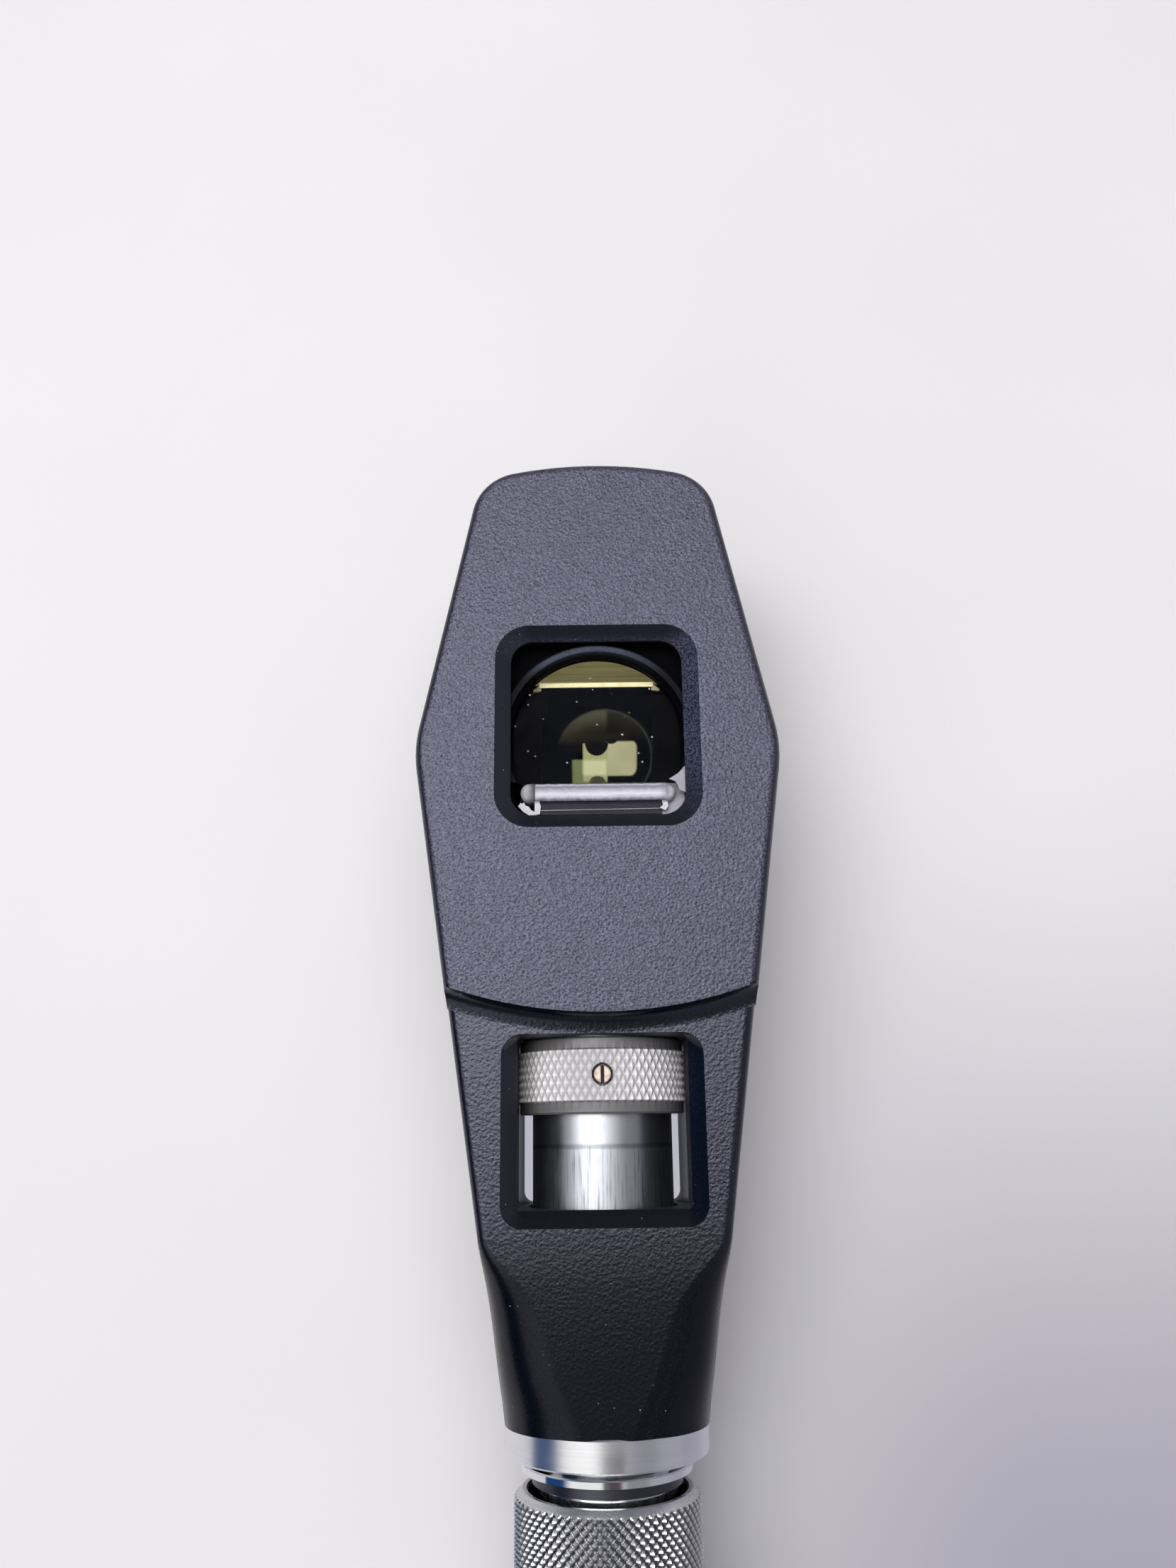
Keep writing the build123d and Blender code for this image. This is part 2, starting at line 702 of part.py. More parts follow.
def grip_shoulder():
    """Step between the collar and the grip, with the lock button's hole."""
    points = [
        (NECK_RADIUS + SLIP, SHOULDER_TOP),
        (10.6, SHOULDER_TOP),
        (SHOULDER_RADIUS, -13.2),
        (SHOULDER_RADIUS, -24.0),
        (GRIP_RADIUS - 0.4, -27.2),
        (GRIP_RADIUS - 0.4, GRIP_TOP),
        (GRIP_BORE - SLIP, GRIP_TOP),
        (GRIP_BORE - SLIP, -34.0),
        (11.4, -34.0),
        (11.4, -25.5),
        (NECK_RADIUS + SLIP, -22.0),
    ]
    solid = turned(points)
    solid -= pin_z(BUTTON_RADIUS + RUN, 0, BUTTON_AT, 6, 15)
    return solid - pin_z(3.2, 0, BUTTON_AT, 5, 9.8)


def lock_button():
    """Push button that frees the collar to turn."""
    solid = pin_z(BUTTON_RADIUS, 0, BUTTON_AT, 9.2, 12.6) + pin_z(3.1, 0, BUTTON_AT, 9.1, 9.75)
    solid -= pin_z(1.7, 0, BUTTON_AT, 8, 11.4)
    top = [e for e in solid.edges() if e.center().Z > 12.5]
    return fillet(top, 0.5)


def button_spring():
    """Spring under the lock button."""
    spring = Rot(90, 0, 0) * coil(1.3, 0.16, 8.12, 11.2, 5)
    return Pos(0, BUTTON_AT, 0) * spring


def grip_tube():
    """Outer tube of the grip."""
    r = GRIP_RADIUS
    points = [
        (GRIP_BORE, GRIP_BOTTOM),
        (r, GRIP_BOTTOM),
        (r, GRIP_TOP - 0.5),
        (r - 0.4, GRIP_TOP),
        (GRIP_BORE, GRIP_TOP),
    ]
    return turned(points)


def battery_liner():
    """Plastic liner that centres the battery."""
    return ring(12.2, GRIP_BORE - SLIP, -128.0, -34.2)


def battery_stop():
    """Insulating disc at the top of the battery space."""
    return ring(1.87, 11.38, -33.8, -30.8)


def feed_rod():
    """Conductor from the battery to the neck's terminal."""
    return rod(1.85, -35.6, -8.02)


def battery_can():
    """Rechargeable battery's can."""
    r = CELL_RADIUS
    points = [(0, CELL_BOTTOM), (r - 0.6, CELL_BOTTOM), (r, CELL_BOTTOM + 0.6), (r, CELL_TOP - 0.6)]
    return turned(points + [(r - 0.6, CELL_TOP), (0, CELL_TOP)])


def battery_terminal():
    """Raised positive terminal."""
    return rod(3.2, CELL_TOP, CELL_TOP + 2.35)


def tail_insert():
    """Liner at the tail that the cap screws into."""
    return ring(12.3, GRIP_BORE - SLIP, GRIP_BOTTOM, -128.2)


def tail_cap():
    """Screw cap that closes the handle."""
    r = CAP_RADIUS
    outside = [
        (0, HANDLE_END),
        (r - 1.6, HANDLE_END),
        (r - 0.5, -149.5),
        (r, -148.4),
        (r, -138.3),
        (12.25, -138.3),
        (12.25, -130.6),
        (10.6, -130.6),
        (10.6, -145.0),
        (0, -145.0),
    ]
    return turned(outside) - ring(11.65, 13, -137.4, -136.2)


def cap_seal():
    """Seal ring in the cap's groove."""
    return Pos(0, -136.8, 0) * Rot(90, 0, 0) * Torus(11.96, 0.27)


def cap_plate():
    """Contact plate that stays still while the cap turns on it."""
    return rod(10.5, -144.9, -143.6)


def battery_spring():
    """Spring that presses the battery up."""
    return coil(6.5, 0.55, -142.9, -127.0, 5)


def build():
    """Writes every piece."""
    save("yoke", yoke())
    save("housing", housing())
    save("rear_cover", rear_cover())
    save("rear_cover_screws", Part() + [cover_screw(x, along) for x, along in COVER_SCREWS])
    save("brow_rest", brow_rest())
    save("housing_screws", housing_screws())
    save("base_ring", base_ring())
    save("bayonet_socket", bayonet_socket())
    save("bearing_bush", bearing_bush())
    save("window_bezel", window_bezel())
    save("window_glass", window_glass())
    save("mirror_plate", mirror_plate())
    save("mirror_frame", mirror_frame())
    save("mirror_clips", mirror_clips())
    save("top_baffle", top_baffle())
    save("light_baffle", light_baffle())
    save("filter_shelf", filter_shelf())
    save("filter_slab", filter_slab())
    save("peephole_glass", peephole_glass())
    save("peephole_ring", peephole_ring())
    save("lamp_carrier", lamp_carrier())
    save("drag_ring", drag_ring())
    save("lamp_retainer", lamp_retainer())
    save("lamp_base", lamp_base())
    save("lamp_insulator", lamp_insulator())
    save("lamp_contact", lamp_contact())
    save("lamp_block", lamp_block())
    save("filament_posts", filament_posts())
    save("lamp_filament", lamp_filament())
    save("lamp_bulb", lamp_bulb())
    save("guide_key", guide_key())
    save("sleeve_tube", sleeve_tube())
    save("sleeve_ring", sleeve_ring())
    save("sleeve_screws", set_screw(1) + set_screw(-1))
    save("condenser_lens", condenser_lens())
    save("lens_retainers", lens_retainers())
    save("handle_neck", handle_neck())
    save("neck_washer", neck_washer())
    save("neck_insulator", neck_insulator())
    save("neck_terminal", neck_terminal())
    save("plunger_spring", plunger_spring())
    save("contact_plunger", contact_plunger())
    save("rheostat_track", rheostat_track())
    save("collar_clip", collar_clip())
    save("rheostat_collar", rheostat_collar())
    save("wiper", wiper())
    save("grip_shoulder", grip_shoulder())
    save("lock_button", lock_button())
    save("button_spring", button_spring())
    save("grip_tube", grip_tube())
    save("battery_liner", battery_liner())
    save("battery_stop", battery_stop())
    save("feed_rod", feed_rod())
    save("battery_can", battery_can())
    save("battery_terminal", battery_terminal())
    save("tail_insert", tail_insert())
    save("tail_cap", tail_cap())
    save("cap_seal", cap_seal())
    save("cap_plate", cap_plate())
    save("battery_spring", battery_spring())


build()
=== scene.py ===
"""Looks of the streak retinoscope: materials, knurls, optics details, floor, light and camera."""
import math

import bpy
import numpy as np
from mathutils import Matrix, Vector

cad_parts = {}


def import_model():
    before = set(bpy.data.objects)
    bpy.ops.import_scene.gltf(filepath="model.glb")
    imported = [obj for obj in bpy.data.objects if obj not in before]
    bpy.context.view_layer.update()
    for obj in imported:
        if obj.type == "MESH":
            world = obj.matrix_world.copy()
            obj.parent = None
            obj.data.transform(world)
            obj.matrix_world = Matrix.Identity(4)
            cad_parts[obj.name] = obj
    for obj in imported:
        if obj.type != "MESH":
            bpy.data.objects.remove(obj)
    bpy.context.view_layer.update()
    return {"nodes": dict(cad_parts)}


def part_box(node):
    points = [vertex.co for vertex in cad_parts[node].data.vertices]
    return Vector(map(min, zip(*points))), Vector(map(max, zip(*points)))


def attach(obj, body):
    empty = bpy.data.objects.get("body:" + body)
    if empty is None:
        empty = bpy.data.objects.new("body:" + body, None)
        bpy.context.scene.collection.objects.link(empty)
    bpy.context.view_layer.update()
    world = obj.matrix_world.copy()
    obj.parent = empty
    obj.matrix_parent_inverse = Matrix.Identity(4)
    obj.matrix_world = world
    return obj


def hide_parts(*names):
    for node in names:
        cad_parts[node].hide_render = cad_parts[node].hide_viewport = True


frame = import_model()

scene = bpy.context.scene
nodes = frame["nodes"]

MM = 0.001
AXIS_Z = 0.01425                        # height of the instrument's axis above the table
BASE_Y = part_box("base_ring")[0][1]

# Millimetres along the axis, from the base ring's lower face
WINDOW_AT = 79.6                        # middle of the upper window
SCREW_AT = 40.1                         # set screws of the sleeve ring
WEAR_AT = 32.35                         # wear line of the sleeve tube
# Other millimetres
WINDOW_HALF = 12.5                      # half width of the square that holds the window's bevels
MIRROR_FRONT = 0.354                    # depth of the mirror plate's front face on the axis
SLEEVE_RADIUS, SLEEVE_KNURL_DEPTH = 10.0, 0.36
COLLAR_RADIUS, COLLAR_KNURL_DEPTH = 10.4, 0.42
SCREW_SHADE, SCREW_EDGE = 0.82, 1.0     # radii between which a set screw darkens towards its rim: painted shade of its recess

PAINT_TINT = (0.74, 0.77, 1.0, 1.0)     # cold gloss of the black finishes
PAINTED_GLOW = 0.75                       # share of their own colour that the mirror's painted reflection and the olive film emit as painted light


def along(millimetres):
    """Row Y of a distance up the instrument's axis from the base ring's lower face."""
    return BASE_Y + millimetres * MM


def depth(millimetres):
    """Row Z of a distance from the instrument's axis towards the patient's side."""
    return AXIS_Z + millimetres * MM


# ------------------------------------------------------------------ node materials
class Tree:
    """Small helper that builds the node tree of a material or a world."""

    def __init__(self, owner, output="ShaderNodeOutputMaterial"):
        self.owner = owner
        owner.use_nodes = True
        self.nodes = owner.node_tree.nodes
        self.links = owner.node_tree.links
        self.nodes.clear()
        self.out = self.nodes.new(output)

    def add(self, kind, **values):
        node = self.nodes.new(kind)
        for key, value in values.items():
            setattr(node, key, value)
        return node

    def link(self, source, target):
        self.links.new(source, target)

    def feed(self, socket, value):
        """Sets a number or a colour on a socket, or links an output to it."""
        if isinstance(value, (int, float)):
            socket.default_value = value
        elif isinstance(value, tuple):
            socket.default_value = (*value, 1)
        else:
            self.link(value, socket)

    def coords(self, stretch=(1, 1, 1)):
        """Object coordinates in metres, stretched."""
        source = self.add("ShaderNodeTexCoord")
        mapping = self.add("ShaderNodeMapping")
        mapping.inputs["Scale"].default_value = stretch
        self.link(source.outputs["Object"], mapping.inputs["Vector"])
        return mapping.outputs["Vector"]

    def noise(self, scale, detail=2.0, rough=0.5, stretch=(1, 1, 1)):
        """Soft noise, about scale bumps to the metre times stretch."""
        node = self.add("ShaderNodeTexNoise")
        node.inputs["Scale"].default_value = scale
        node.inputs["Detail"].default_value = detail
        node.inputs["Roughness"].default_value = rough
        self.link(self.coords(stretch), node.inputs["Vector"])
        return node.outputs["Fac"]

    def cells(self, scale, feature="F1"):
        """Distance to the nearest of scattered points."""
        node = self.add("ShaderNodeTexVoronoi", feature=feature)
        node.inputs["Scale"].default_value = scale
        self.link(self.coords(), node.inputs["Vector"])
        return node.outputs["Distance"]

    def ramp(self, source, stops):
        """Colour ramp from (position, colour) stops."""
        node = self.add("ShaderNodeValToRGB")
        elements = node.color_ramp.elements
        while len(elements) < len(stops):
            elements.new(0.5)
        for element, (position, colour) in zip(elements, stops):
            element.position = position
            element.color = (*colour, 1)
        self.link(source, node.inputs["Fac"])
        return node.outputs["Color"]

    def math(self, operation, a, b=0.0):
        node = self.add("ShaderNodeMath", operation=operation)
        for socket, value in zip(node.inputs, (a, b)):
            self.feed(socket, value)
        return node.outputs["Value"]

    def times(self, a, b):
        return self.math("MULTIPLY", a, b)

    def radius(self, a, b):
        """Length of a vector from its two components."""
        return self.math("SQRT", self.math("ADD", self.times(a, a), self.times(b, b)))

    def remap(self, source, low, high, to_low=0.0, to_high=1.0, smooth=False):
        """Range mapped to another and held at its ends."""
        node = self.add("ShaderNodeMapRange")
        node.interpolation_type = "SMOOTHSTEP" if smooth else "LINEAR"
        limits = {"From Min": low, "From Max": high, "To Min": to_low, "To Max": to_high}
        for key, value in limits.items():
            node.inputs[key].default_value = value
        self.link(source, node.inputs["Value"])
        return node.outputs["Result"]

    def mix(self, factor, a, b):
        """Colour mix."""
        node = self.add("ShaderNodeMix", data_type="RGBA")
        for index, value in ((0, factor), (6, a), (7, b)):
            self.feed(node.inputs[index], value)
        return node.outputs[2]

    def bump(self, height, strength, distance):
        node = self.add("ShaderNodeBump")
        node.inputs["Distance"].default_value = distance
        self.link(height, node.inputs["Height"])
        self.feed(node.inputs["Strength"], strength)
        return node.outputs["Normal"]

    def axis(self, index, output="Object"):
        """One component of a coordinate."""
        source = self.add("ShaderNodeTexCoord")
        split = self.add("ShaderNodeSeparateXYZ")
        self.link(source.outputs[output], split.inputs["Vector"])
        return split.outputs[index]

    def principled(self, colour, rough, metallic=0.0, normal=None, glow=0.0, **sockets):
        """Principled shader. glow is how much of its own colour it also emits; sockets are uniform values."""
        node = self.add("ShaderNodeBsdfPrincipled")
        self.feed(node.inputs["Base Color"], colour)
        self.feed(node.inputs["Roughness"], rough)
        node.inputs["Metallic"].default_value = metallic
        for key, value in sockets.items():
            node.inputs[key.replace("_", " ")].default_value = value
        if normal is not None:
            self.link(normal, node.inputs["Normal"])
        if glow:
            self.feed(node.inputs["Emission Color"], colour)
            node.inputs["Emission Strength"].default_value = glow
        return node.outputs["BSDF"]

    def plain(self, kind, colour, **sockets):
        """Shader of one colour: transparent, diffuse, glossy, emission or background."""
        node = self.add(kind)
        self.feed(node.inputs["Color"], colour)
        for key, value in sockets.items():
            node.inputs[key].default_value = value
        return node.outputs[0]

    def layer(self, factor, below, above):
        """Shader mix: the first shader at 0, the second at 1."""
        node = self.add("ShaderNodeMixShader")
        for socket, value in zip(node.inputs, (factor, below, above)):
            self.link(value, socket)
        return node.outputs[0]

    def finish(self, shader):
        self.link(shader, self.out.inputs["Surface"])
        return self.owner


def material_tree(name):
    return Tree(bpy.data.materials.new(name))


def darker(share, colour):
    """One colour scaled."""
    return tuple(share * c for c in colour)


def box_mask(t, x, y, left, right, low, high, soft=0.15, smooth=False):
    """1 inside a soft-edged rectangle; all in the unit of x and y."""
    sides = t.times(t.remap(x, left - soft, left + soft, smooth=smooth),
                    t.remap(x, right + soft, right - soft, smooth=smooth))
    ends = t.times(t.remap(y, low - soft, low + soft, smooth=smooth),
                   t.remap(y, high + soft, high - soft, smooth=smooth))
    return t.times(sides, ends)


def disc_mask(t, x, y, centre, radii, soft=0.1):
    """1 inside a soft-edged ellipse, and the distance from its centre in radii."""
    dx = t.math("DIVIDE", t.math("SUBTRACT", x, centre[0]), radii[0])
    dy = t.math("DIVIDE", t.math("SUBTRACT", y, centre[1]), radii[1])
    distance = t.radius(dx, dy)
    return t.remap(distance, 1 + soft, 1 - soft), distance


def grained_paint(name, dark, light, pitch, relief, rough, ior, fade, calm=None, window=None):
    """Grained black finish: texture on the flat faces, whose raised grain gets a lighter colour, a painted
    highlight; smooth and darker on rounded edges, which keep the dark colour.

    The relief rises from a quarter to its full depth between the two heights of fade. calm is (ior, low,
    high): a lower gloss below the two heights. window is the height of a window whose upper and right
    bevels keep some of the grain and get a bluish painted highlight on it."""
    t = material_tree(name)
    facing_up = t.math("ABSOLUTE", t.axis(2, "Normal"))
    flat = t.remap(facing_up, 0.80, 0.97, smooth=True)
    if window:
        x, y = t.axis(0), t.math("SUBTRACT", t.axis(1), along(window))
        half = WINDOW_HALF * MM
        inside = box_mask(t, x, y, -half, half, -half, half, 0.5 * MM)
        # painted highlight: the window's upper and right bevels, marked to take the grain and a lighter
        # colour
        lit = t.times(inside, t.remap(t.math("ADD", x, y), -2 * MM, 8 * MM, 0.0, 0.6))
        flat = t.math("MAXIMUM", flat, lit)
    coarse = t.cells(1 / pitch, "SMOOTH_F1")
    fine = t.noise(1.5 / pitch, 2.0, 0.6)
    height = t.math("ADD", t.times(coarse, 0.7), t.times(fine, 0.6))
    tone = t.noise(180.0, 3.0, 0.6)
    # painted highlight: raised grain on faces that look up gets the light colour
    raised = t.times(t.remap(fine, 0.43, 0.60), flat)
    colour = t.mix(raised, dark, light)
    if window:
        # painted highlight on the raised grain of the window's upper and right bevels
        colour = t.mix(t.times(raised, lit), colour, (0.13, 0.155, 0.24))
    colour = t.mix(t.remap(tone, 0.3, 0.8, 0.0, 0.3), colour, dark)
    speck = t.remap(t.cells(900.0), 0.04, 0.07, 0.8, 0.0)
    rare = t.remap(t.noise(420.0, 1.0), 0.53, 0.60)
    colour = t.mix(t.times(speck, rare), colour, (0.40, 0.41, 0.46))
    upright = t.remap(facing_up, 0.25, 0.05, 0.0, 0.45)
    roughness = t.math("ADD", t.remap(fine, 0.3, 0.7, rough + 0.08, rough - 0.05), upright)
    depth_share = t.remap(t.axis(1), along(fade[0]), along(fade[1]), 0.25, 1.0)
    normal = t.bump(height, t.times(t.remap(flat, 0, 1, 0.05, 1.0), depth_share), relief)
    shader = t.principled(colour, roughness, normal=normal, IOR=ior, Specular_Tint=PAINT_TINT)
    if calm:
        calm_ior, low, high = calm
        quiet = t.principled(colour, roughness, normal=normal, IOR=calm_ior, Specular_Tint=PAINT_TINT)
        shader = t.layer(t.remap(t.axis(1), along(low), along(high), smooth=True), quiet, shader)
    return t.finish(shader)


def turned_metal(name, colour, rough, line=9000.0, relief=0.000004, spread=0.06):
    """Metal turned about the long axis: fine rings and faint smears. line is rings to the metre."""
    t = material_tree(name)
    rings = t.noise(1.0, 3.0, 0.65, (line * 0.01, line, line * 0.01))
    smear = t.noise(60.0, 4.0, 0.6, (1, 2.5, 1))
    tint = t.mix(t.remap(smear, 0.35, 0.75, 0.0, 0.5), colour, darker(0.78, colour))
    shade = t.mix(t.remap(rings, 0.3, 0.7, 0.0, 0.25), tint, darker(0.6, colour))
    roughness = t.remap(smear, 0.25, 0.8, rough - spread, rough + spread)
    return t.finish(t.principled(shade, roughness, 1.0, t.bump(rings, 0.5, relief)))


def knurled_metal(name, colour, pit, band_tone, rough, metallic, top, depth_mm, low, high):
    """Knurled metal: bright worn points and valleys in the darker pit colour, painted shade, between two
    heights, brushed beyond them.

    top is the radius of the points and depth_mm the depth of the valleys under it, in millimetres."""
    t = material_tree(name)
    x = t.axis(0)
    z = t.math("SUBTRACT", t.axis(2), AXIS_Z)
    raised = t.remap(t.radius(x, z), (top - depth_mm) * MM, (top - 0.2 * depth_mm) * MM, smooth=True)
    above = t.remap(t.axis(1), along(low), along(low) + 0.1 * MM, 1.0, 0.0)
    below = t.remap(t.axis(1), along(high), along(high) - 0.1 * MM, 1.0, 0.0)
    band = t.math("MAXIMUM", above, below)
    smear = t.noise(900.0, 3.0, 0.6)
    rings = t.noise(1.0, 2.0, 0.6, (60.0, 6000.0, 60.0))
    shade = t.mix(t.remap(smear, 0.35, 0.7, 0.0, 0.4), colour, darker(0.8, colour))
    dull, bright = (darker(share * band_tone, colour) for share in (0.92, 1.08))
    brushed = t.mix(t.remap(rings, 0.35, 0.65), dull, bright)
    # painted shade: the knurl's valleys take the pit colour
    shade = t.mix(band, t.mix(raised, pit, shade), brushed)
    roughness = t.remap(smear, 0.3, 0.75, rough - 0.06, rough + 0.08)
    normal = t.bump(t.math("ADD", rings, smear), 0.08, 0.0000010)
    return t.finish(t.principled(shade, roughness, metallic, normal))


def plain_plastic(name, colour, rough, pitch=0.0004, relief=0.000012, level=0.5):
    """Moulded plastic or paint with a fine mottle."""
    t = material_tree(name)
    grain = t.noise(1 / pitch, 3.0, 0.6)
    tone = t.noise(140.0, 3.0, 0.55)
    shade = t.mix(t.remap(tone, 0.3, 0.75), colour, darker(0.8, colour))
    roughness = t.remap(grain, 0.3, 0.7, max(rough - 0.08, 0.02), rough + 0.06)
    normal = t.bump(grain, 0.5, relief)
    return t.finish(t.principled(shade, roughness, normal=normal, Specular_IOR_Level=level))


def clear_material(name, tint, gloss=0.04, specks=0.0):
    """Clear piece: see-through with a faint reflection and optional dust."""
    t = material_tree(name)
    haze = t.noise(300.0, 3.0, 0.6)
    shader = t.layer(t.remap(haze, 0.3, 0.8, gloss * 0.7, gloss * 1.3),
                     t.plain("ShaderNodeBsdfTransparent", tint),
                     t.plain("ShaderNodeBsdfGlossy", (0.8, 0.8, 0.8), Roughness=0.04))
    if specks:
        dots = t.remap(t.cells(620.0), 0.05, 0.085, specks, 0.0)
        clusters = t.remap(t.noise(260.0, 2.0), 0.46, 0.56)
        dust = t.plain("ShaderNodeBsdfDiffuse", (0.62, 0.64, 0.68))
        shader = t.layer(t.times(dots, clusters), shader, dust)
    return t.finish(shader)


def polished_tube_material():
    """Sleeve tube: polished above its wear line, scratched and smeared below it."""
    t = material_tree("polished_tube")
    height = t.axis(1)
    below = t.remap(height, along(WEAR_AT + 0.2), along(WEAR_AT - 0.2), smooth=True)
    above_line = t.remap(height, along(WEAR_AT + 0.35), along(WEAR_AT), smooth=True)
    below_line = t.remap(height, along(WEAR_AT - 0.55), along(WEAR_AT - 0.15), smooth=True)
    band = t.times(above_line, below_line)
    rings = t.noise(1.0, 2.0, 0.6, (40.0, 5200.0, 40.0))
    lines = t.noise(1.0, 3.0, 0.6, (3600.0, 110.0, 3600.0))
    smear = t.noise(420.0, 4.0, 0.65, (1, 0.7, 1))
    colour = t.mix(t.remap(smear, 0.35, 0.7, 0.0, 0.35), (0.46, 0.475, 0.505), (0.30, 0.315, 0.35))
    marks = t.times(t.remap(lines, 0.53, 0.66), t.remap(below, 0, 1, 0.12, 0.95))
    colour = t.mix(marks, colour, (0.16, 0.17, 0.20))
    colour = t.mix(t.times(band, 0.6), colour, (0.14, 0.15, 0.18))
    rough = t.math("ADD", t.remap(smear, 0.3, 0.75, 0.28, 0.38), t.times(below, 0.03))
    bumps = t.math("ADD", t.times(rings, 0.5), t.times(lines, below))
    normal = t.bump(bumps, 0.5, 0.000004)
    return t.finish(t.principled(colour, rough, 1.0, normal))


def slotted_material():
    """Set screw: tarnished copper, with painted shade in the slot along the instrument and round the rim."""
    t = material_tree("slotted_copper")
    x = t.axis(0)
    y = t.math("SUBTRACT", t.axis(1), along(SCREW_AT))
    slot = t.remap(t.math("ABSOLUTE", x), 0.26 * MM, 0.17 * MM)
    rim = t.remap(t.radius(x, y), SCREW_SHADE * MM, SCREW_EDGE * MM)
    tarnish = t.remap(t.noise(1400.0, 3.0, 0.6), 0.35, 0.65)
    colour = t.mix(tarnish, (0.52, 0.42, 0.36), (0.26, 0.21, 0.19))
    # painted shade: the slot and the rim of the screw's recess are darkened
    colour = t.mix(t.math("MAXIMUM", slot, rim), colour, (0.012, 0.011, 0.012))
    rough = t.remap(tarnish, 0, 1, 0.28, 0.42)
    return t.finish(t.principled(colour, rough, 0.8))


def mirror_reflection_painting():
    """Half-silvered plate: black, with a painted reflection of the lens and the lamp's cream block and a
    painted highlight on its top edge, all glowing with part of their colour.

    x runs across the plate and s up its slope from the axis, both in millimetres."""
    t = material_tree("mirror_painted_reflection")
    x = t.times(t.axis(0), 1000.0)
    depth_mm = t.math("SUBTRACT", t.times(t.axis(2), 1000.0), AXIS_Z * 1000)
    s = t.times(t.math("SUBTRACT", depth_mm, MIRROR_FRONT), math.sqrt(2))
    # painted reflection: every colour below stands for what the mirror reflects, not the plate's own colour
    tone = t.noise(260.0, 2.0, 0.5)
    lens, radius = disc_mask(t, x, s, (1.0, 0.3), (6.2, 6.9), 0.03)
    rim = t.times(t.remap(radius, 0.95, 0.985), t.remap(radius, 1.02, 0.99))
    rim = t.times(rim, t.remap(t.math("ADD", s, x), -4.5, 4.5, 0.0, 1.0, smooth=True))
    upper = t.remap(s, 2.3, 6.8)
    near_rim = t.remap(radius, 0.55, 0.93, 0.3, 1.0, smooth=True)
    left_part = t.remap(x, 1.5, 1.1, 0.25, 1.0)
    haze = t.times(t.times(lens, upper), t.times(left_part, near_rim))
    colour = t.mix(haze, (0.0010, 0.0013, 0.0022), (0.066, 0.060, 0.034))
    band = t.times(box_mask(t, x, s, -4.9, 3.9, 2.6, 4.0, 0.5), lens)
    colour = t.mix(t.times(band, 0.4), colour, (0.020, 0.018, 0.010))
    colour = t.mix(t.times(rim, 0.5), colour, (0.05, 0.05, 0.048))
    right_block = box_mask(t, x, s, 1.3, 5.15, -2.3, 2.7, 0.14)
    corner, _ = disc_mask(t, x, s, (3.2, 0.3), (2.35, 3.25), 0.05)
    right_block = t.times(right_block, t.math("MAXIMUM", corner, t.remap(x, 3.4, 3.0)))
    notch, _ = disc_mask(t, x, s, (1.9, 3.0), (0.75, 0.65), 0.12)
    right_block = t.times(right_block, t.math("SUBTRACT", 1.0, notch))
    cream = t.mix(t.remap(tone, 0.3, 0.7), (0.32, 0.30, 0.165), (0.41, 0.385, 0.225))
    colour = t.mix(right_block, colour, cream)
    colour = t.mix(box_mask(t, x, s, -3.15, 1.35, -4.2, 0.1), colour, (0.165, 0.170, 0.072))
    colour = t.mix(box_mask(t, x, s, -1.75, 1.35, -3.1, 2.45, 0.1), colour, (0.34, 0.335, 0.155))
    colour = t.mix(box_mask(t, x, s, -1.75, 1.3, -2.2, 0.0, 0.25), colour, (0.54, 0.53, 0.30))
    hole, _ = disc_mask(t, x, s, (0.0, 2.55), (1.5, 1.9), 0.04)
    hole = t.times(hole, t.remap(s, 2.62, 2.50))
    colour = t.mix(hole, colour, (0.003, 0.003, 0.004))
    foot, _ = disc_mask(t, x, s, (0.1, -3.2), (1.05, 0.9), 0.1)
    colour = t.mix(foot, colour, (0.05, 0.05, 0.03))
    # painted highlight: the plate's top edge lit in gold
    edge = t.math("MAXIMUM", t.remap(t.axis(1, "Normal"), 0.2, 0.4), t.remap(s, 10.30, 10.36))
    gold = t.mix(t.remap(t.noise(900.0, 2.0), 0.3, 0.7), (0.70, 0.60, 0.30), (0.86, 0.80, 0.52))
    colour = t.mix(edge, colour, gold)
    rough = t.remap(tone, 0.3, 0.7, 0.10, 0.18)
    return t.finish(t.principled(colour, rough, glow=PAINTED_GLOW, Specular_IOR_Level=0.02))


def olive_material():
    """Olive film on the shelf over the mirror, with faint lines across and a duller front; it glows with part
    of its colour, painted light.
    """
    t = material_tree("olive_film")
    lines = t.noise(1.0, 3.0, 0.6, (60.0, 60.0, 1500.0))
    colour = t.mix(t.remap(lines, 0.35, 0.65), (0.115, 0.100, 0.040), (0.235, 0.205, 0.095))
    deep = t.remap(t.axis(2), depth(-7.0), depth(5.0))
    colour = t.mix(t.remap(deep, 0, 1, 0.0, 0.5), colour, (0.13, 0.12, 0.065))
    return t.finish(t.principled(colour, 0.45, glow=PAINTED_GLOW))


